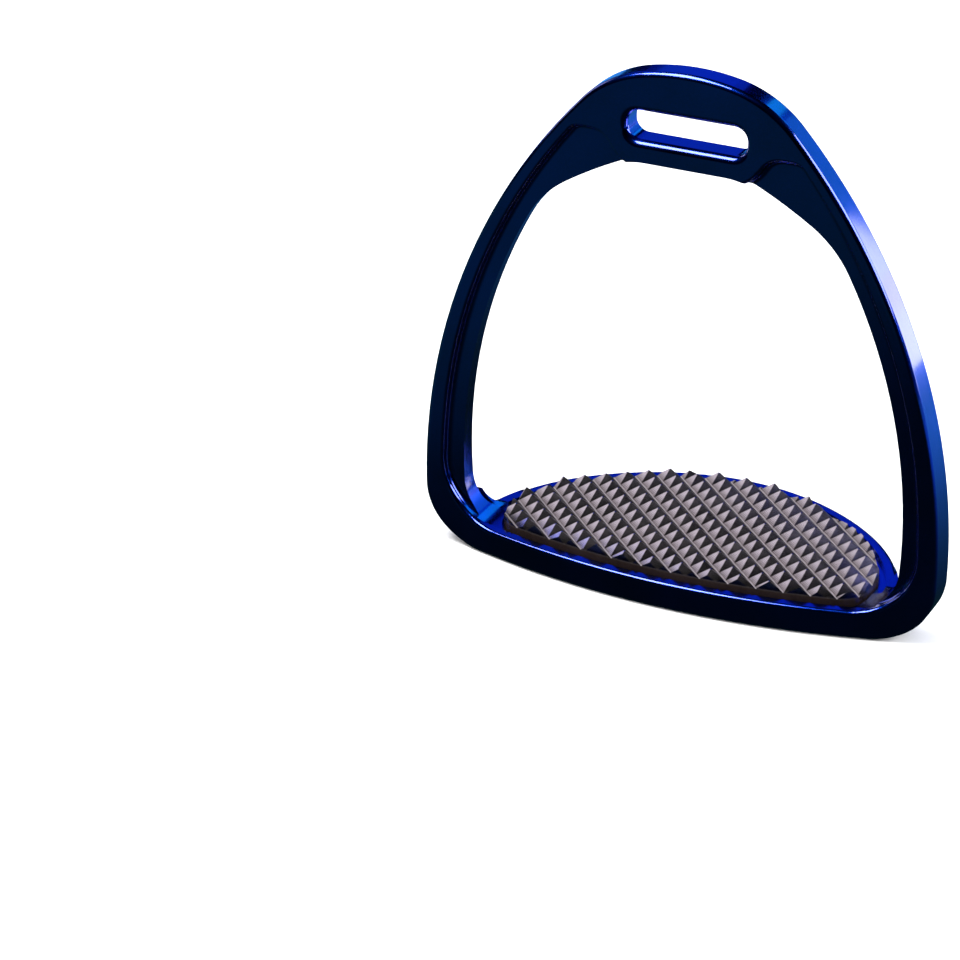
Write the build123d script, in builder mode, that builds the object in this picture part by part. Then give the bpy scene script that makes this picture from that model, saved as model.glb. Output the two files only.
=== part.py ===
"""A one-piece stirrup iron with a toothed tread pad and a carbon-fibre inlay under the foot bed.

Units are millimetres. The origin is the middle of the underside, at the centre of the
bounding box. +Z is up, X runs across the foot opening, and the plane front face of the bow
looks along -Y. The foot bed reaches a little in front of the bow and far behind it.
"""

import os
from math import acos, cos, degrees, radians, sin

from build123d import *

# Outline of the bow, from the middle of the underside round to the middle of the top:
# (radius, degrees turned) of each tangent arc on the right-hand side.
OUTER_ARCS = [(16.4, 88.6), (162.3, 43.7), (30.4, 36.0), (56.8, 11.7)]

# Opening for the foot, from the middle of the bridge round to the leg, all right-hand turns.
BRIDGE_UNDERSIDE = 115.4
BRIDGE_HALF_LENGTH = 10.6
OPENING_ARCS = [(18.4, -25.2), (121.4, -7.6), (29.9, -28.7)]
LEG_INNER_RADIUS = 143.7
OPENING_CORNER_RADIUS = 12.5

# Front-to-back depth of the bow, which tapers from the underside to the top.
BOW_DEPTH_AT_FOOT = 10.2
BOW_DEPTH_AT_TOP = 7.2

# Slot for the stirrup leather.
SLOT_HALF_LENGTH = 15.7
SLOT_HEIGHT = 7.5
SLOT_CENTRE_HEIGHT = 124.6
SLOT_CORNER_RADIUS = 3.4
SLOT_FRONT_RIM_RADIUS = 2.0
SLOT_REAR_RIM_RADIUS = 0.5

# Scoops that thin the inner half of the bow, front and back. Their edge runs from the bridge
# in an S round the slot's boss to a cusp at the shoulder, then down the leg and round the foot.
SCOOP_START = (9.7, 112.9)
SCOOP_BOSS_ARCS = [(12.0, 60.0), (6.0, -60.0)]
SCOOP_CREST_LENGTH = 2.7
SCOOP_SHOULDER_ARCS = [(3.4, -51.0), (152.7, -37.0)]
SCOOP_FOOT_RADIUS = 16.5
FRONT_SCOOP_DEPTH = 2.6
REAR_SCOOP_DEPTH = 2.2
SCOOP_FLOOR_RADIUS = 1.5
SCOOP_EDGE_RADIUS = 1.0

# Foot bed, seen from above: a shallow bulge in front of the bow and a D behind it.
BED_FLOOR = 6.3
BED_RIM = 7.5
BED_FRONT_REACH = 9.7
BED_FRONT_RADIUS = 190.0
BED_FRONT_TURN = 15.5
BED_FRONT_END_RADIUS = 22.0
INNER_FRONT_TURN = 17.5
BED_REAR_REACH = 54.7
BED_REAR_ARCS = [(56.2, -21.9), (65.3, -22.0), (52.7, -28.6)]
BED_THROAT_ARC = (5.5, 62.0)
RIM_WIDTH = 2.9
BULGE_TOP = 22.0
BULGE_END_HEIGHT = 18.6
GUSSET_RADIUS = 5.0
GUSSET_OVERLAP = 0.25

# Pad and the well that it drops into.
PAD_INSET = 4.9
PAD_HALF_WIDTH = 50.0
PAD_CORNER_RADIUS = 7.0
PAD_GAP = 0.5
PAD_UNDERSIDE = 4.3

# Teeth on the pad: two families of straight V-grooves that leave pyramids between them, each
# as (degrees from X, pitch, distance of one groove from the origin).
TOOTH_TIP_HEIGHT = 10.9
TOOTH_DEPTH = 2.6
TOOTH_FLAT = 0.35
GROOVE_FAMILIES = [(-45.0, 5.69, -0.98), (36.0, 4.41, 1.13)]
GROOVE_REACH = 80.0

# Recess under the bed with its inlay, film and badge.
RECESS_INSET = 6.5
RECESS_HALF_WIDTH = 48.0
RECESS_CORNER_RADIUS = 9.0
RECESS_DEPTH = 2.1
INLAY_GAP = 0.25
INLAY_THICKNESS = 1.0
FILM_THICKNESS = 0.15
FILM_INSET = 1.5
BADGE_LENGTH = 26.0
BADGE_WIDTH = 9.0
BADGE_THICKNESS = 0.5
BADGE_EDGE_RADIUS = 0.2

# Countersunk M3 screws, driven up through the floor of the well into the pad.
SCREW_RADIUS = 1.5
SCREW_HEAD_RADIUS = 2.8
SCREW_HEAD_ANGLE = 90
SCREW_SUNK = 0.1
SCREW_CLEARANCE = 0.2
SCREW_LENGTH = 5.0
SCREW_TIP_ROOM = 0.4
SCREW_SOCKET_WIDTH = 2.0
SCREW_SOCKET_DEPTH = 1.0
SCREW_PLACES = [(-34.0, -14.5), (34.0, -14.5), (-20.0, 14.0), (20.0, 14.0)]

# Edge rounding.
FRONT_BAND_EDGE_RADIUS = 1.4
REAR_BAND_EDGE_RADIUS = 0.6
BED_EDGE_RADIUS = 1.1
RECESS_EDGE_RADIUS = 0.8

BED_DEPTH = BED_FRONT_REACH + BED_REAR_REACH
BED_FRONT = -BED_DEPTH / 2
BED_REAR = BED_DEPTH / 2
BOW_FRONT = BED_FRONT + BED_FRONT_REACH
SCREW_UNDERSIDE = RECESS_DEPTH + SCREW_SUNK
SCREW_TOP = SCREW_UNDERSIDE + SCREW_LENGTH
INLAY_TOP = RECESS_DEPTH - FILM_THICKNESS

# How closely points and edges have to match when they are picked out.
POINT_TOLERANCE = 0.01
EDGE_TOLERANCE = 0.02


def travel(arcs, heading=0.0):
    """Where a chain of tangent arcs ends: how far across, how far up, and its last heading."""
    across = 0.0
    up = 0.0
    for radius, turn in arcs:
        side = radius if turn > 0 else -radius
        across += side * (sin(radians(heading + turn)) - sin(radians(heading)))
        up += side * (cos(radians(heading)) - cos(radians(heading + turn)))
        heading += turn
    return across, up, heading


UNDERSIDE_HALF_LENGTH = -travel(OUTER_ARCS)[0]
OVERALL_HEIGHT = travel(OUTER_ARCS)[1]

# The rear face of the bow leans forward: its plane points into the metal, with local Y upwards.
REAR_LEAN = (BOW_DEPTH_AT_FOOT - BOW_DEPTH_AT_TOP) / OVERALL_HEIGHT
FRONT_FACE = Plane(origin=(0, BOW_FRONT, 0), x_dir=(-1, 0, 0), z_dir=(0, 1, 0))
REAR_FACE = Plane(
    origin=(0, BOW_FRONT + BOW_DEPTH_AT_FOOT, 0),
    x_dir=(1, 0, 0),
    z_dir=(0, -1, -REAR_LEAN),
)


def tangent_arcs(edge, arcs):
    """Draw a chain of arcs, each tangent to the edge before it, and return the last one."""
    for radius, turn in arcs:
        edge = JernArc(start=edge @ 1, tangent=edge % 1, radius=radius, arc_size=turn)
    return edge


def outer_outline():
    """Area inside the outer outline of the bow, X across and Y up."""
    with BuildSketch() as outline:
        with BuildLine():
            underside = Line((0, 0), (UNDERSIDE_HALF_LENGTH, 0))
            tangent_arcs(underside, OUTER_ARCS)
            mirror(about=Plane.YZ)
        make_face()
    return outline.sketch


def opening_outline():
    """Area of the foot opening, X across and Y up, down to the floor of the bed."""
    across, up, heading = travel(OPENING_ARCS)
    leg_centre_height = BRIDGE_UNDERSIDE + up - LEG_INNER_RADIUS * cos(radians(heading))
    last_heading = -degrees(acos((BED_FLOOR - leg_centre_height) / LEG_INNER_RADIUS))
    with BuildSketch() as outline:
        with BuildLine():
            bridge = Line((0, BRIDGE_UNDERSIDE), (BRIDGE_HALF_LENGTH, BRIDGE_UNDERSIDE))
            leg = tangent_arcs(bridge, OPENING_ARCS + [(LEG_INNER_RADIUS, last_heading - heading)])
            Line(leg @ 1, (0, BED_FLOOR))
            mirror(about=Plane.YZ)
        make_face()
        corners = outline.vertices().filter_by(lambda v: v.Y < BED_RIM and abs(v.X) > SLOT_HALF_LENGTH)
        fillet(corners, radius=OPENING_CORNER_RADIUS)
    return outline.sketch


def scoop_outline():
    """Area that a scoop covers, X across and Y up, from the boss of the slot down to the rim."""
    boss_across, boss_up, boss_heading = travel(SCOOP_BOSS_ARCS)
    leg_across, leg_up, leg_heading = travel(SCOOP_SHOULDER_ARCS)
    leg_height = SCOOP_START[1] + boss_up + leg_up
    foot_drop = SCOOP_FOOT_RADIUS * (1 + cos(radians(leg_heading)))
    straight = (leg_height - BED_RIM - foot_drop) / -sin(radians(leg_heading))
    with BuildSketch() as outline:
        with BuildLine():
            start = Line((0, SCOOP_START[1]), SCOOP_START)
            boss = tangent_arcs(start, SCOOP_BOSS_ARCS)
            crest = Line(boss @ 1, boss @ 1 + Vector(SCOOP_CREST_LENGTH, 0))
            shoulder = tangent_arcs(crest, SCOOP_SHOULDER_ARCS)
            leg = Line(shoulder @ 1, shoulder @ 1 + (shoulder % 1) * straight)
            foot = tangent_arcs(leg, [(SCOOP_FOOT_RADIUS, -180.0 - leg_heading)])
            Line(foot @ 1, (0, BED_RIM))
            mirror(about=Plane.YZ)
        make_face()
    return outline.sketch


def scoop_cutter(face_plane, depth):
    """Solid that cuts one scoop into a face of the bow, with a round between wall and floor."""
    with BuildPart() as cutter:
        with BuildSketch(face_plane):
            add(scoop_outline())
        extrude(amount=depth)
        floor = cutter.faces().sort_by(Axis(face_plane.origin, face_plane.z_dir))[-1]
        fillet(floor.edges(), radius=SCOOP_FLOOR_RADIUS)
        with BuildSketch(face_plane):
            add(scoop_outline())
        extrude(amount=-2 * BED_FRONT_REACH)
    return cutter.part


def front_edge():
    """Draw the right half of the bed's front edge, which flows into the bow's front face."""
    turn = radians(BED_FRONT_TURN)
    arc_rise = (BED_FRONT_RADIUS + BED_FRONT_END_RADIUS) * (1 - cos(turn))
    straight = (BED_FRONT_REACH - arc_rise) / sin(turn)
    start = (0, BED_FRONT)
    bulge = JernArc(start=start, tangent=(1, 0), radius=BED_FRONT_RADIUS, arc_size=BED_FRONT_TURN)
    slope = Line(bulge @ 1, bulge @ 1 + (bulge % 1) * straight)
    return tangent_arcs(slope, [(BED_FRONT_END_RADIUS, -BED_FRONT_TURN)])


def rear_edge(last_arcs):
    """Draw the right half of the bed's rear edge, ending with the arcs given."""
    radius, turn = BED_REAR_ARCS[0]
    crown = JernArc(start=(0, BED_REAR), tangent=(1, 0), radius=radius, arc_size=turn)
    return tangent_arcs(crown, BED_REAR_ARCS[1:] + last_arcs)


def bed_plan():
    """Area of the foot bed seen from above, with the throats that run into the legs."""
    with BuildSketch() as plan:
        with BuildLine():
            front = front_edge()
            rear = rear_edge([BED_THROAT_ARC])
            Line(rear @ 1, front @ 1)
            mirror(about=Plane.YZ)
        make_face()
    return plan.sketch


def bed_inner_plan(inset):
    """Area of the bed's plan without its throats, drawn in by inset."""
    with BuildSketch() as plan:
        with BuildLine():
            front = JernArc(
                start=(0, BED_FRONT), tangent=(1, 0), radius=BED_FRONT_RADIUS, arc_size=INNER_FRONT_TURN
            )
            rear = rear_edge([])
            Line(rear @ 1, front @ 1)
            mirror(about=Plane.YZ)
        make_face()
        offset(amount=-inset)
    return plan.sketch


def pocket_plan(inset, half_width, corner_radius, gap=0.0):
    """Area of a pocket in the bed, cut square and rounded at the ends, then eased by gap."""
    with BuildSketch() as plan:
        add(bed_inner_plan(inset))
        Rectangle(2 * half_width, 2 * BED_DEPTH, mode=Mode.INTERSECT)
        corners = plan.vertices().filter_by(lambda v: abs(abs(v.X) - half_width) < POINT_TOLERANCE)
        fillet(corners, radius=corner_radius)
        offset(amount=gap)
    return plan.sketch


def along(edge, wire, view):
    """Whether an edge of a solid runs along a wire when it is seen square to a plane."""
    points = [view.to_local_coords(edge @ place) for place in (0.02, 0.5, 0.98)]
    return all(wire.distance_to(Vertex(point.X, point.Y, 0)) < EDGE_TOLERANCE for point in points)


def throat_gussets():
    """Solids behind the legs that sweep the rounded corners of the opening down to the bed's rim."""
    sweep_top = BED_RIM + GUSSET_RADIUS
    start = BOW_FRONT + BOW_DEPTH_AT_FOOT - REAR_LEAN * sweep_top - GUSSET_OVERLAP
    min_corner = (Align.MIN, Align.MIN)
    with BuildPart() as gussets:
        with BuildSketch():
            add(bed_plan())
            add(bed_inner_plan(RIM_WIDTH), mode=Mode.SUBTRACT)
            with Locations((0, start)):
                Rectangle(
                    2 * BED_DEPTH, BED_DEPTH, align=(Align.CENTER, Align.MIN), mode=Mode.INTERSECT
                )
        extrude(amount=BULGE_TOP)
        with BuildSketch(Plane.XZ):
            add(opening_outline())
        extrude(amount=BED_DEPTH, both=True, mode=Mode.SUBTRACT)
        with BuildSketch(Plane.XZ):
            add(outer_outline())
        extrude(amount=BED_DEPTH, both=True, mode=Mode.INTERSECT)
        with BuildSketch(Plane.YZ):
            with Locations((start + GUSSET_RADIUS, sweep_top)):
                Circle(GUSSET_RADIUS)
            with Locations((start, sweep_top)):
                Rectangle(BED_DEPTH, BULGE_TOP, align=min_corner)
            with Locations((start + GUSSET_RADIUS, BED_RIM)):
                Rectangle(BED_DEPTH, BULGE_TOP, align=min_corner)
        extrude(amount=2 * BED_DEPTH, both=True, mode=Mode.SUBTRACT)
    return gussets.part


def bed_blank():
    """Solid of the foot bed: floor, rim all round, and the bulge that the legs' rims grow into."""
    plan_wire = bed_plan().wire()
    with BuildPart() as bed:
        with BuildSketch():
            add(bed_plan())
        extrude(amount=BED_RIM)
        with BuildSketch(Plane.XY.offset(BED_FLOOR)):
            add(bed_inner_plan(RIM_WIDTH))
        extrude(amount=BED_RIM, mode=Mode.SUBTRACT)
        behind_bow = bed.edges().filter_by(lambda e: (e @ 0.5).Y > BOW_FRONT + BOW_DEPTH_AT_FOOT)
        outside = behind_bow.filter_by(lambda e: along(e, plan_wire, Plane.XY))
        fillet(outside.filter_by_position(Axis.Z, BED_FLOOR, BED_RIM), radius=BED_EDGE_RADIUS)
        with BuildSketch():
            add(bed_plan())
            add(bed_inner_plan(RIM_WIDTH), mode=Mode.SUBTRACT)
            with Locations((0, BOW_FRONT)):
                Rectangle(
                    2 * BED_DEPTH, BED_FRONT_REACH, align=(Align.CENTER, Align.MAX), mode=Mode.INTERSECT
                )
        extrude(amount=BULGE_TOP)
        with BuildSketch(Plane.XZ):
            add(outer_outline())
        extrude(amount=BED_DEPTH, both=True, mode=Mode.INTERSECT)
        add(throat_gussets())
    return bed.part


def screw_planes(height):
    """Planes under the four screws at one height, each looking down."""
    return [Plane(origin=(x, y, height), z_dir=(0, 0, -1)) for x, y in SCREW_PLACES]


os.makedirs("parts", exist_ok=True)

# Frame: bow, eye and foot bed, milled from one billet.
front_view = Plane(origin=(0, 0, 0), x_dir=(1, 0, 0), z_dir=(0, -1, 0))
bow_wire = outer_outline().wire()
scoop_wire = scoop_outline().wire()
plan_wire = bed_plan().wire()

with BuildPart() as frame:
    # Bow: a slab with a leaning rear face, its outer rear edge rounded, scooped from behind.
    with BuildSketch(Plane.XZ.offset(-BOW_FRONT - BOW_DEPTH_AT_FOOT)):
        add(outer_outline())
        add(opening_outline(), mode=Mode.SUBTRACT)
    extrude(amount=BOW_DEPTH_AT_FOOT)
    split(bisect_by=REAR_FACE, keep=Keep.TOP)
    rear_face = frame.faces().sort_by(Axis.Y)[-1]
    fillet(rear_face.outer_wire().edges(), radius=REAR_BAND_EDGE_RADIUS)
    add(scoop_cutter(REAR_FACE, REAR_SCOOP_DEPTH), mode=Mode.SUBTRACT)
    on_rear_face = frame.edges().filter_by(
        lambda e: abs(REAR_FACE.to_local_coords(e @ 0.5).Z) < POINT_TOLERANCE
    )
    fillet(on_rear_face.filter_by(lambda e: along(e, scoop_wire, REAR_FACE)), radius=SCOOP_EDGE_RADIUS)

    # Foot bed, and the front scoop that leaves one rim round the bow and the bed.
    add(bed_blank())
    add(scoop_cutter(FRONT_FACE, FRONT_SCOOP_DEPTH), mode=Mode.SUBTRACT)
    in_front = frame.edges().filter_by(lambda e: (e @ 0.5).Y < BOW_FRONT + POINT_TOLERANCE)
    fillet(in_front.filter_by(lambda e: along(e, bow_wire, front_view)), radius=FRONT_BAND_EDGE_RADIUS)
    in_front = frame.edges().filter_by(lambda e: (e @ 0.5).Y < BOW_FRONT + POINT_TOLERANCE)
    scoop_edges = in_front.filter_by(lambda e: along(e, scoop_wire, front_view))
    outermost = scoop_edges.filter_by(
        lambda e: (e @ 0.5).Z > BULGE_END_HEIGHT or along(e, plan_wire, Plane.XY)
    )
    fillet(outermost, radius=SCOOP_EDGE_RADIUS)

    # Slot for the leather, with a well-rounded rim in front and an eased one behind.
    with BuildSketch(FRONT_FACE):
        with Locations((0, SLOT_CENTRE_HEIGHT)):
            RectangleRounded(2 * SLOT_HALF_LENGTH, SLOT_HEIGHT, SLOT_CORNER_RADIUS)
    extrude(amount=2 * BOW_DEPTH_AT_FOOT, both=True, mode=Mode.SUBTRACT)
    slot_reach = SLOT_HALF_LENGTH + EDGE_TOLERANCE
    slot_edges = frame.edges().filter_by_position(Axis.X, -slot_reach, slot_reach)
    slot_bottom = SLOT_CENTRE_HEIGHT - SLOT_HEIGHT / 2 - EDGE_TOLERANCE
    slot_top = SLOT_CENTRE_HEIGHT + SLOT_HEIGHT / 2 + EDGE_TOLERANCE
    slot_edges = slot_edges.filter_by_position(Axis.Z, slot_bottom, slot_top)
    slot_rims = slot_edges.filter_by(Axis.Y, reverse=True)
    front_rim = slot_rims.filter_by_position(Axis.Y, BED_FRONT, BOW_FRONT + EDGE_TOLERANCE)
    fillet(front_rim, radius=SLOT_FRONT_RIM_RADIUS)
    slot_edges = frame.edges().filter_by_position(Axis.X, -slot_reach, slot_reach)
    slot_edges = slot_edges.filter_by_position(Axis.Z, slot_bottom, slot_top)
    slot_rims = slot_edges.filter_by(Axis.Y, reverse=True)
    rear_rim = slot_rims.filter_by_position(Axis.Y, BOW_FRONT + BOW_DEPTH_AT_TOP, BED_REAR)
    fillet(rear_rim, radius=SLOT_REAR_RIM_RADIUS)

    # Recess under the bed, well on top of it, and the countersunk holes between them.
    with BuildSketch():
        add(pocket_plan(RECESS_INSET, RECESS_HALF_WIDTH, RECESS_CORNER_RADIUS))
    extrude(amount=RECESS_DEPTH, mode=Mode.SUBTRACT)
    with BuildSketch(Plane.XY.offset(PAD_UNDERSIDE)):
        add(pocket_plan(PAD_INSET, PAD_HALF_WIDTH, PAD_CORNER_RADIUS, PAD_GAP))
    extrude(amount=BED_RIM, mode=Mode.SUBTRACT)
    with Locations(*screw_planes(RECESS_DEPTH)):
        CounterSinkHole(
            radius=SCREW_RADIUS + SCREW_CLEARANCE,
            counter_sink_radius=SCREW_HEAD_RADIUS + SCREW_SUNK,
            counter_sink_angle=SCREW_HEAD_ANGLE,
            depth=PAD_UNDERSIDE,
        )
    underside = frame.faces().filter_by(Axis.Z).sort_by(Axis.Z)[0]
    fillet(underside.inner_wires()[0].edges(), radius=RECESS_EDGE_RADIUS)

frame.part.label = "frame"
export_step(frame.part, "parts/frame.step")

# Toothed pad that drops into the well, tapped from below for the screws.
with BuildPart() as tread_pad:
    with BuildSketch(Plane.XY.offset(PAD_UNDERSIDE)):
        add(pocket_plan(PAD_INSET, PAD_HALF_WIDTH, PAD_CORNER_RADIUS))
    extrude(amount=TOOTH_TIP_HEIGHT - PAD_UNDERSIDE)
    for angle, pitch, start in GROOVE_FAMILIES:
        along_groove = (cos(radians(angle)), sin(radians(angle)), 0)
        across_groove = (-along_groove[1], along_groove[0], 0)
        half_width = (pitch - TOOTH_FLAT) / 2
        steps = int(GROOVE_REACH / pitch)
        with BuildSketch(Plane(origin=(0, 0, TOOTH_TIP_HEIGHT), x_dir=across_groove, z_dir=along_groove)):
            with Locations(*[(start + pitch * step, 0) for step in range(-steps, steps + 1)]):
                Polygon((-half_width, 0), (half_width, 0), (0, -TOOTH_DEPTH), align=None)
        extrude(amount=GROOVE_REACH, both=True, mode=Mode.SUBTRACT)
    with Locations(*screw_planes(PAD_UNDERSIDE)):
        Hole(radius=SCREW_RADIUS, depth=SCREW_TOP + SCREW_TIP_ROOM - PAD_UNDERSIDE)

tread_pad.part.label = "tread_pad"
export_step(tread_pad.part, "parts/tread_pad.step")

# One countersunk screw standing on its head, with its hexagon socket underneath.
with BuildPart() as screw:
    with BuildSketch(Plane.XZ):
        with BuildLine():
            Polyline(
                (0, SCREW_UNDERSIDE),
                (SCREW_HEAD_RADIUS, SCREW_UNDERSIDE),
                (SCREW_RADIUS, SCREW_UNDERSIDE + SCREW_HEAD_RADIUS - SCREW_RADIUS),
                (SCREW_RADIUS, SCREW_TOP),
                (0, SCREW_TOP),
                close=True,
            )
        make_face()
    revolve(axis=Axis.Z)
    with BuildSketch(Plane.XY.offset(SCREW_UNDERSIDE)):
        RegularPolygon(radius=SCREW_SOCKET_WIDTH / 2, side_count=6, major_radius=False)
    extrude(amount=SCREW_SOCKET_DEPTH, mode=Mode.SUBTRACT)

# The four pad screws, each with its head just inside the floor of the recess.
with BuildPart() as pad_screws:
    with Locations(*SCREW_PLACES):
        add(screw.part)

pad_screws.part.label = "pad_screws"
export_step(pad_screws.part, "parts/pad_screws.step")

# Adhesive film between the roof of the recess and the inlay.
with BuildPart() as inlay_adhesive:
    with BuildSketch(Plane.XY.offset(RECESS_DEPTH)):
        add(pocket_plan(RECESS_INSET, RECESS_HALF_WIDTH, RECESS_CORNER_RADIUS, -FILM_INSET))
    extrude(amount=-FILM_THICKNESS)

inlay_adhesive.part.label = "inlay_adhesive"
export_step(inlay_adhesive.part, "parts/inlay_adhesive.step")

# Carbon-fibre inlay in the recess.
with BuildPart() as carbon_inlay:
    with BuildSketch(Plane.XY.offset(INLAY_TOP)):
        add(pocket_plan(RECESS_INSET, RECESS_HALF_WIDTH, RECESS_CORNER_RADIUS, -INLAY_GAP))
    extrude(amount=-INLAY_THICKNESS)

carbon_inlay.part.label = "carbon_inlay"
export_step(carbon_inlay.part, "parts/carbon_inlay.step")

# Plain oval badge on the inlay, with its lower rim eased.
with BuildPart() as badge:
    with BuildSketch(Plane.XY.offset(INLAY_TOP - INLAY_THICKNESS)):
        Ellipse(BADGE_LENGTH / 2, BADGE_WIDTH / 2)
    extrude(amount=-BADGE_THICKNESS)
    fillet(badge.faces().sort_by(Axis.Z)[0].edges(), radius=BADGE_EDGE_RADIUS)

badge.part.label = "badge"
export_step(badge.part, "parts/badge.step")
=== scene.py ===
from math import cos, pi, radians, sin

import bpy
from mathutils import Matrix, Vector


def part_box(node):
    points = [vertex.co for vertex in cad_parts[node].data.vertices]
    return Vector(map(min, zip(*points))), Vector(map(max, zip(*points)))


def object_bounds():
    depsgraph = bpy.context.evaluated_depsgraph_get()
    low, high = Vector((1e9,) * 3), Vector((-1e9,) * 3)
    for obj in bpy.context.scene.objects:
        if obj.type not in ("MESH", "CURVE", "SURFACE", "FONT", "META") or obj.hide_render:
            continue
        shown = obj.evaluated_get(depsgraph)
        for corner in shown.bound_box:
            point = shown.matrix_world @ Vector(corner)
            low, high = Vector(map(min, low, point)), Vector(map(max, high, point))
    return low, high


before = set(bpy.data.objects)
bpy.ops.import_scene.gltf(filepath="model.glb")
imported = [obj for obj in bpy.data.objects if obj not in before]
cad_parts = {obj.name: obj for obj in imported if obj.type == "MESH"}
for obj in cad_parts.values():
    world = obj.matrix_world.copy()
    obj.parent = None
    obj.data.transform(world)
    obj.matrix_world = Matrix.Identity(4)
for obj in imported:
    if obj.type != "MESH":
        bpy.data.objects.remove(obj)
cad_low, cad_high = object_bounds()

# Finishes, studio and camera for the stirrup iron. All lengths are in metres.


class Signal:
    """A node's output that Python arithmetic works on: each operator adds a Math node."""

    def __init__(self, finish, socket):
        self.finish = finish
        self.socket = socket

    def math(self, operation, *operands):
        """This value and the operands, in that order, through one Math node."""
        return self.finish.add("Math", {"operation": operation}, dict(enumerate((self, *operands))))

    def __add__(self, other):
        return self.math("ADD", other)

    __radd__ = __add__

    def __sub__(self, other):
        return self.math("SUBTRACT", other)

    def __rsub__(self, other):
        return self.finish.add("Math", {"operation": "SUBTRACT"}, {0: other, 1: self})

    def __mul__(self, other):
        return self.math("MULTIPLY", other)

    __rmul__ = __mul__

    def __truediv__(self, other):
        return self.math("DIVIDE", other)

    def __pow__(self, other):
        return self.math("POWER", other)

    def __abs__(self):
        return self.math("ABSOLUTE")

    def __mod__(self, other):
        return self.math("FLOORED_MODULO", other)

    def floor(self):
        return self.math("FLOOR")

    def wave(self):
        """Sine wave, moved up so that it runs from 0 to 1."""
        return self.math("SINE") * 0.5 + 0.5

    def above(self, threshold):
        return self.math("GREATER_THAN", threshold)

    def most(self, other):
        return self.math("MAXIMUM", other)


class Finish:
    """A material in the making. One method, add, puts in every node."""

    def __init__(self, name):
        self.material = bpy.data.materials.new(name)
        self.material.use_nodes = True
        self.tree = self.material.node_tree
        self.tree.nodes.clear()

    def add(self, kind, settings=None, sockets=None, output=0):
        """Add a node, set it up, fill its sockets with numbers or signals, and give one output."""
        node = self.tree.nodes.new("ShaderNode" + kind)
        for setting, value in (settings or {}).items():
            if setting == "stops":
                self.set_stops(node.color_ramp, value)
            else:
                setattr(node, setting, value)
        for socket, value in (sockets or {}).items():
            if isinstance(value, Signal):
                self.tree.links.new(value.socket, node.inputs[socket])
            else:
                node.inputs[socket].default_value = value
        return Signal(self, node.outputs[output])

    @staticmethod
    def set_stops(ramp, stops):
        while len(ramp.elements) < len(stops):
            ramp.elements.new(1.0)
        for element, (position, colour) in zip(ramp.elements, stops):
            element.position = position
            element.color = colour

    def place(self):
        """Place on the object as a vector, in metres."""
        return self.add("TexCoord", output="Object")

    def axes(self, vector):
        """The three parts of a vector."""
        return [self.add("SeparateXYZ", None, {0: vector}, axis) for axis in range(3)]

    def vector(self, x, y, z):
        return self.add("CombineXYZ", None, {0: x, 1: y, 2: z})

    def noise(self, vector, scale, detail=2.0, roughness=0.5):
        """Soft noise from 0 to 1 with the given number of features to the metre."""
        sockets = {"Vector": vector, "Scale": scale, "Detail": detail, "Roughness": roughness}
        return self.add("TexNoise", None, sockets)

    def span(self, value, low, high, to_low=0.0, to_high=1.0):
        """The value eased from one range to another, and held at its ends."""
        sockets = {0: value, 1: low, 2: high, 3: to_low, 4: to_high}
        return self.add("MapRange", {"interpolation_type": "SMOOTHSTEP"}, sockets)

    def blend(self, amount, first, second):
        """Colour that goes from first to second as amount goes from 0 to 1."""
        return self.add("Mix", {"data_type": "RGBA"}, {0: amount, 6: first, 7: second}, 2)

    def relief(self, height, depth, under=None):
        """Surface normal of a relief that is depth deep where height goes from 0 to 1."""
        sockets = {"Height": height, "Distance": depth, "Strength": 1.0}
        if under is not None:
            sockets["Normal"] = under
        return self.add("Bump", None, sockets)

    def surface(self, **sockets):
        """Close the material with one Principled surface."""
        named = {name.replace("_", " "): value for name, value in sockets.items()}
        shader = self.add("BsdfPrincipled", None, named)
        self.add_output(shader)
        return self.material

    def add_output(self, shader):
        output = self.tree.nodes.new("ShaderNodeOutputMaterial")
        self.tree.links.new(shader.socket, output.inputs["Surface"])


def colour(red, green, blue):
    return (red, green, blue, 1.0)


# Frame: dye of the anodising, and how deep its surface marks are.
BLUE_DEEP = colour(0.0004, 0.018, 0.24)
BLUE_BRIGHT = colour(0.001, 0.038, 0.46)
POLISH_DEPTH = 0.00006
LAY_DEPTH = 0.0000025
BLUE_ROUGHNESS = (0.17, 0.27)


def anodised_blue():
    """Deep blue anodised aluminium, polished by hand over fine cutter marks."""
    finish = Finish("anodised_blue")
    place = finish.place()
    x, y, z = finish.axes(place)
    clouds = finish.noise(place, 35.0, 3.0)
    speckle = finish.noise(place, 2600.0)
    dye = finish.span(clouds * 0.7 + speckle * 0.3, 0.3, 0.7)
    lay = finish.noise(finish.vector(x * 0.4, y * 12.0, z * 0.4), 500.0)
    smears = finish.noise(place, 110.0, 4.0, 0.6)
    hand_polish = finish.relief(finish.noise(place, 70.0), POLISH_DEPTH)
    return finish.surface(
        Base_Color=finish.blend(dye, BLUE_DEEP, BLUE_BRIGHT),
        Metallic=1.0,
        Roughness=finish.span(smears * 0.6 + lay * 0.4, 0.25, 0.75, *BLUE_ROUGHNESS),
        Normal=finish.relief(lay, LAY_DEPTH, hand_polish),
        Coat_Weight=1.0,
        Coat_Roughness=0.08,
        Coat_IOR=1.6,
    )


# Pad: distance between two of its long grooves, and of one of them from the origin.
GROOVE_PITCH = 0.00569
GROOVE_START = -0.00098

# How far from the bottom of a groove the cutter's burnished track fades out and is full.
TRACK_EDGE = 0.00026
TRACK_CORE = 0.00010

# Heights on the pad, from 0 at its underside to 1 at the tips. The first of each pair is where a
# change starts, on the way down the teeth, and the second is where it ends.
# Painted shade in the valleys: heights where the flanks start and finish turning dark.
SHADED_VALLEY = (0.90, 0.60)
# Painted shade on the wall below the teeth: heights where it starts and is full.
SHADED_WALL = (0.66, 0.56)
TRACK_TOP = (0.76, 0.62)
TRACK_FOOT = (0.590, 0.602)

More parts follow.
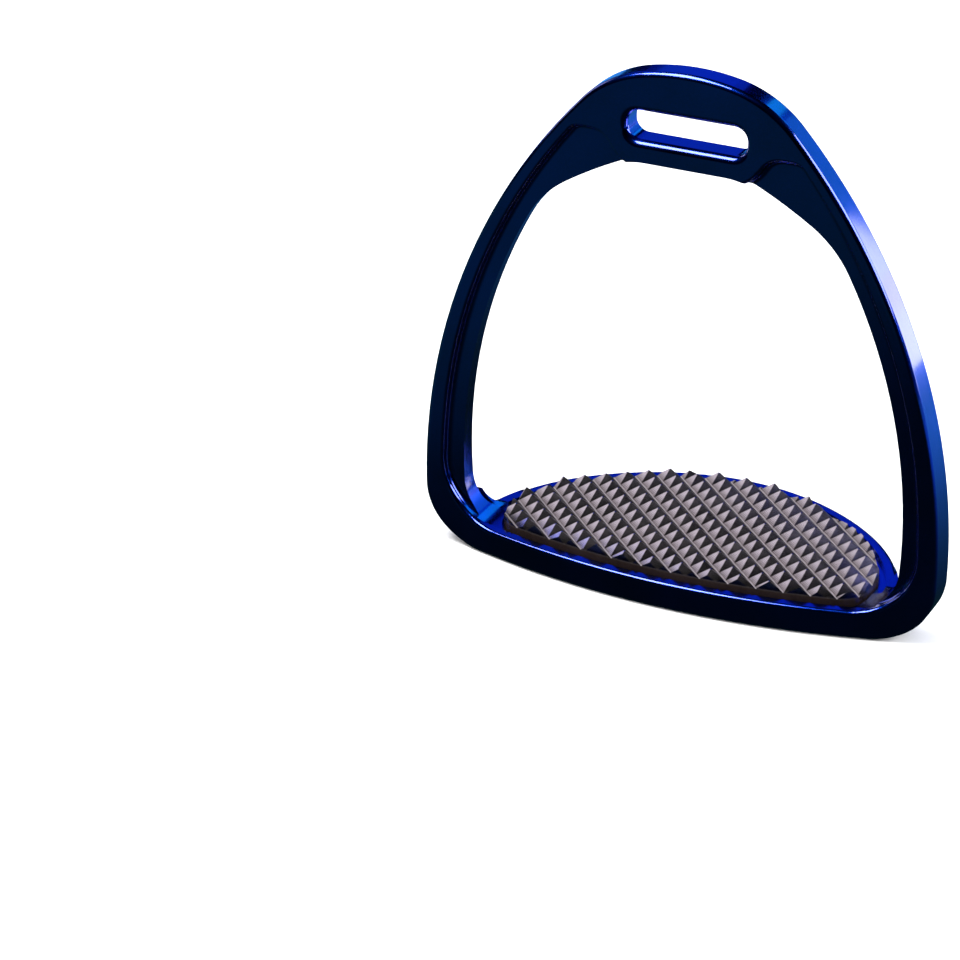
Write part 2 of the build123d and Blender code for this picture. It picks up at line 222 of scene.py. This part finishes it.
CUTTER_LINE_PITCH = 0.00022
CUTTER_LINE_DEPTH = 0.000008
PAD_ROUGHNESS = (0.20, 0.33)
FLANK_DARK = colour(0.30, 0.27, 0.29)
FLANK_LIGHT = colour(0.52, 0.48, 0.52)
# Colour of the painted shade in the valleys.
VALLEY_SHADE = colour(0.15, 0.13, 0.13)
TRACK_METAL = colour(0.27, 0.24, 0.26)
# Colours of the painted shade on the wall below the teeth.
WALL_SHADE_DARK = colour(0.012, 0.007, 0.005)
WALL_SHADE_LIGHT = colour(0.050, 0.032, 0.026)


def toothed_metal():
    """Bright machined teeth with cutter lines along their flanks, and painted shade in the valleys
    and on the wall below them.
    """
    finish = Finish("toothed_metal")
    place = finish.place()
    x, y, z = finish.axes(place)
    low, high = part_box("tread_pad")
    height = (z - low.z) / (high.z - low.z)
    blotches = finish.noise(place, 140.0, 3.0, 0.6)
    wander = finish.noise(place, 900.0)
    cutter = (z * (2 * pi / CUTTER_LINE_PITCH) + wander * 5.0).wave()

    across_groove = (x + y) * sin(radians(45.0))
    steps = (across_groove - GROOVE_START) / GROOVE_PITCH
    from_groove = abs((steps + 0.5) % 1.0 - 0.5) * GROOVE_PITCH
    in_valley = finish.span(height, *TRACK_TOP) * finish.span(height, *TRACK_FOOT)
    track = finish.span(from_groove, TRACK_EDGE, TRACK_CORE) * in_valley

    # Painted shade: the wall below the teeth is dark brown and barely metallic.
    wall = finish.span(height, *SHADED_WALL)
    flank = finish.blend(blotches, FLANK_DARK, FLANK_LIGHT)
    # Painted shade: the flanks darken towards the bottom of the teeth.
    tooth = finish.blend(finish.span(height, *SHADED_VALLEY), flank, VALLEY_SHADE)
    wall_shade = finish.blend(blotches, WALL_SHADE_DARK, WALL_SHADE_LIGHT)
    return finish.surface(
        Base_Color=finish.blend(track, finish.blend(wall, tooth, wall_shade), TRACK_METAL),
        Metallic=1.0 - wall.most(track) * 0.8,
        Roughness=finish.span(blotches * 0.6 + cutter * 0.4, 0.2, 0.8, *PAD_ROUGHNESS),
        Normal=finish.relief(cutter * 0.5 + wander * 0.5, CUTTER_LINE_DEPTH),
    )


# Inlay: width of a tow, how far the weave is turned, and the painted sheen of its two directions.
TOW = 0.0034
WEAVE_TURN = radians(12.0)
WEAVE_DEPTH = 0.00012
# Painted sheen: the warp tows get lighter colours than the weft.
WARP_SHEEN_DARK = colour(0.004, 0.0035, 0.003)
WARP_SHEEN_LIGHT = colour(0.055, 0.042, 0.036)
WEFT_SHEEN_DARK = colour(0.003, 0.0028, 0.0025)
WEFT_SHEEN_LIGHT = colour(0.020, 0.016, 0.014)
RESIN_ROUGHNESS = (0.30, 0.48)


def carbon_weave():
    """Two-by-two twill of carbon tows under a thick clear resin, with painted sheen on the warp and
    painted highlights on the crowns of the tows.
    """
    finish = Finish("carbon_weave")
    place = finish.place()
    x, y, z = finish.axes(place)
    wander = finish.noise(place, 90.0) * 0.12
    across = (x * cos(WEAVE_TURN) + y * sin(WEAVE_TURN)) / TOW + wander
    along = (y * cos(WEAVE_TURN) - x * sin(WEAVE_TURN)) / TOW + wander
    step = (across.floor() + along.floor()) % 4.0
    warp = 1.0 - step.above(1.5)
    warp_round = 1.0 - (across % 1.0 * 2.0 - 1.0) ** 2.0
    weft_round = 1.0 - (along % 1.0 * 2.0 - 1.0) ** 2.0
    crown = warp * warp_round + (1.0 - warp) * weft_round
    warp_fibres = finish.noise(finish.vector(x * 8.0, y * 0.5, z), 900.0)
    weft_fibres = finish.noise(finish.vector(x * 0.5, y * 8.0, z), 900.0)
    strands = warp * warp_fibres + (1.0 - warp) * weft_fibres
    # Fibre tone, with a painted highlight along the crown of each tow.
    fibres_and_crown_highlight = finish.span(strands * 0.5 + crown * 0.5, 0.2, 0.9)
    warp_sheen = finish.blend(fibres_and_crown_highlight, WARP_SHEEN_DARK, WARP_SHEEN_LIGHT)
    weft_sheen = finish.blend(fibres_and_crown_highlight, WEFT_SHEEN_DARK, WEFT_SHEEN_LIGHT)
    return finish.surface(
        Base_Color=finish.blend(warp, weft_sheen, warp_sheen),
        Metallic=0.0,
        Roughness=finish.span(strands, 0.2, 0.8, *RESIN_ROUGHNESS),
        Normal=finish.relief(crown * 0.8 + strands * 0.2, WEAVE_DEPTH),
        Coat_Weight=1.0,
        Coat_Roughness=0.03,
    )


# Badge and screws.
BRUSH_DEPTH = 0.000006
BRUSH_ROUGHNESS = (0.24, 0.40)
BADGE_LIGHT = colour(0.80, 0.80, 0.81)
BADGE_DARK = colour(0.55, 0.55, 0.56)
SCREW_LIGHT = colour(0.62, 0.62, 0.63)
SCREW_DARK = colour(0.40, 0.40, 0.41)


def brushed_metal(name, light, dark):
    """Steel brushed lengthways."""
    finish = Finish(name)
    place = finish.place()
    x, y, z = finish.axes(place)
    lines = finish.noise(finish.vector(x * 0.15, y * 6.0, z * 6.0), 700.0, 3.0, 0.7)
    patches = finish.noise(place, 220.0)
    return finish.surface(
        Base_Color=finish.blend(lines * 0.7 + patches * 0.3, dark, light),
        Metallic=1.0,
        Roughness=finish.span(lines, 0.2, 0.8, *BRUSH_ROUGHNESS),
        Normal=finish.relief(lines, BRUSH_DEPTH),
    )


# Film behind the inlay.
FILM_DARK = colour(0.60, 0.58, 0.52)
FILM_LIGHT = colour(0.80, 0.79, 0.75)
FILM_DEPTH = 0.00001
FILM_ROUGHNESS = (0.45, 0.65)


def cloudy_film():
    """Thin adhesive film with trapped air."""
    finish = Finish("cloudy_film")
    bubbles = finish.noise(finish.place(), 600.0, 3.0)
    return finish.surface(
        Base_Color=finish.blend(bubbles, FILM_DARK, FILM_LIGHT),
        Roughness=finish.span(bubbles, 0.2, 0.8, *FILM_ROUGHNESS),
        Normal=finish.relief(bubbles, FILM_DEPTH),
    )


FINISHES = {
    "frame": anodised_blue(),
    "tread_pad": toothed_metal(),
    "carbon_inlay": carbon_weave(),
    "badge": brushed_metal("brushed_badge", BADGE_LIGHT, BADGE_DARK),
    "pad_screws": brushed_metal("screw_steel", SCREW_LIGHT, SCREW_DARK),
    "inlay_adhesive": cloudy_film(),
}
for node, material in FINISHES.items():
    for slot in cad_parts[node].material_slots:
        slot.material = material


# Studio. Directions are (azimuth, elevation) in degrees seen from the middle of the iron:
# azimuth 0 is in front of it, 90 to its right, and 180 behind it.
MIDDLE = (cad_low + cad_high) / 2


def direction(azimuth, elevation):
    """Unit vector from the iron towards a direction."""
    across, up = radians(azimuth), radians(elevation)
    return Vector((sin(across) * cos(up), -cos(across) * cos(up), sin(up)))


def softbox(name, azimuth, elevation, distance, size, radiance, tint=(1.0, 1.0, 1.0)):
    """Rectangular light that faces the middle of the iron and isn't seen by the camera."""
    width, height = size
    data = bpy.data.lights.new(name, "AREA")
    data.shape = "RECTANGLE"
    data.size = width
    data.size_y = height
    data.energy = radiance * pi * width * height
    data.color = tint
    light = bpy.data.objects.new(name, data)
    light.location = MIDDLE + direction(azimuth, elevation) * distance
    light.rotation_mode = "QUATERNION"
    light.rotation_quaternion = direction(azimuth, elevation).to_track_quat("Z", "Y")
    light.visible_camera = False
    bpy.context.scene.collection.objects.link(light)


# Polished metal shows little but its reflections, so each softbox is there for the surfaces that
# mirror it: (azimuth, elevation, distance), (width, height), radiance and tint.

# Walls that face right, and the right-hand shoulder.
softbox("softbox_back", 152, 14, 1.5, (0.85, 0.60), 1.3, (0.03, 0.36, 1.0))
softbox("softbox_back_high", 158, 33, 1.3, (0.50, 0.24), 2.4, (0.01, 0.45, 1.0))

# Level surfaces: the top of the bow, the floor of the slot and the bed.
softbox("softbox_back_left", 206, 27, 1.2, (0.75, 0.45), 0.80, (0.01, 0.08, 1.0))

# White line along the upper front edges.
softbox("softbox_overhead", -60, 64, 1.1, (0.75, 0.50), 13.0)
softbox("softbox_right", 110, 25, 1.1, (0.72, 0.55), 9.0)

# Left-hand flanks of the teeth.
softbox("softbox_left", 252, 18, 1.2, (0.45, 0.50), 1.6, (0.97, 0.92, 1.0))

# Pale band down the right leg.
softbox("softbox_beside_leg", 139, 2, 0.55, (0.14, 0.22), 4.4, (1.0, 0.95, 1.0))


def level_sheet(name, width, height):
    """Square level sheet under the iron."""
    reach = width / 2
    turns = ((-1, -1), (1, -1), (1, 1), (-1, 1))
    corners = [(x * reach, y * reach, height) for x, y in turns]
    mesh = bpy.data.meshes.new(name)
    mesh.from_pydata(corners, [], [(0, 1, 2, 3)])
    sheet = bpy.data.objects.new(name, mesh)
    bpy.context.scene.collection.objects.link(sheet)
    return sheet


PAPER_DARK = colour(0.86, 0.86, 0.86)
PAPER_LIGHT = colour(0.90, 0.90, 0.90)


def pale_paper():
    """Smooth white studio paper."""
    finish = Finish("pale_paper")
    tooth = finish.noise(finish.place(), 900.0)
    return finish.surface(
        Base_Color=finish.blend(tooth, PAPER_DARK, PAPER_LIGHT),
        Roughness=0.9,
        Specular_IOR_Level=0.1,
    )


# Glow of the card, and how far out each part of it starts and is full.
GLOW_FRONT_RIGHT = colour(0.004, 0.014, 0.014)
GLOW_FRONT_LEFT = colour(0.012, 0.085, 0.085)
GLOW_BEHIND = colour(0.05, 0.34, 1.05)
FRONT_LEFT_REACH = (0.06, 0.20)
BEHIND_REACH = (0.02, 0.30)


def card_glow():
    """What the metal mirrors of the table: dim in front, and blue behind and to the right."""
    finish = Finish("card_glow")
    x, y, _ = finish.axes(finish.place())
    front_left = finish.span(x * -0.8 - y * 0.6, *FRONT_LEFT_REACH)
    behind = finish.span(x * 0.5 + y * 0.87, *BEHIND_REACH)
    front = finish.blend(front_left, GLOW_FRONT_RIGHT, GLOW_FRONT_LEFT)
    tint = finish.blend(behind, front, GLOW_BEHIND)
    finish.add_output(finish.add("Emission", None, {"Color": tint, "Strength": 1.0}))
    return finish.material


# The floor is what the camera sees, and the card just under it is what the metal mirrors.
FLOOR_WIDTH = 12.0
CARD_WIDTH = 4.0
CARD_DROP = 0.0005

floor = level_sheet("floor", FLOOR_WIDTH, cad_low.z)
floor.data.materials.append(pale_paper())
floor.visible_glossy = False
card = level_sheet("reflection_card", CARD_WIDTH, cad_low.z - CARD_DROP)
card.data.materials.append(card_glow())
card.visible_camera = False
card.visible_diffuse = False
card.visible_shadow = False

# Even white light from all round, which the metal doesn't mirror.
world = bpy.data.worlds.new("studio")
bpy.context.scene.world = world
world.use_nodes = True
background = world.node_tree.nodes["Background"]
background.inputs["Color"].default_value = colour(1.0, 1.0, 1.0)
background.inputs["Strength"].default_value = 1.0
world.cycles_visibility.glossy = False

# Camera: it looks down at the iron from the front right. It aims at a point low on the left,
# given as (right, down) across the view from the foot of the bow's front face.
CAMERA_AZIMUTH = 25.67
CAMERA_ELEVATION = 26.44
CAMERA_ROLL = 0.35
CAMERA_DISTANCE = 0.9812
CAMERA_AIM = (-0.0486, -0.0286)
CAMERA_LENS = 144.33
BOW_FRONT = -0.0225

back = direction(CAMERA_AZIMUTH, CAMERA_ELEVATION)
level = Vector((cos(radians(CAMERA_AZIMUTH)), sin(radians(CAMERA_AZIMUTH)), 0.0))
roll = Matrix.Rotation(radians(CAMERA_ROLL), 3, back)
right = roll @ level
up = roll @ back.cross(level)
aim = Vector((0.0, BOW_FRONT, 0.0)) + right * CAMERA_AIM[0] - up * CAMERA_AIM[1]

data = bpy.data.cameras.new("camera")
data.lens = CAMERA_LENS
data.sensor_width = 36.0
data.clip_start = 0.05
data.clip_end = 50.0
camera = bpy.data.objects.new("camera", data)
turn = Matrix((right, up, back)).transposed().to_4x4()
camera.matrix_world = Matrix.Translation(aim + back * CAMERA_DISTANCE) @ turn
bpy.context.scene.collection.objects.link(camera)
bpy.context.scene.camera = camera
bpy.context.scene.view_settings.view_transform = "Standard"
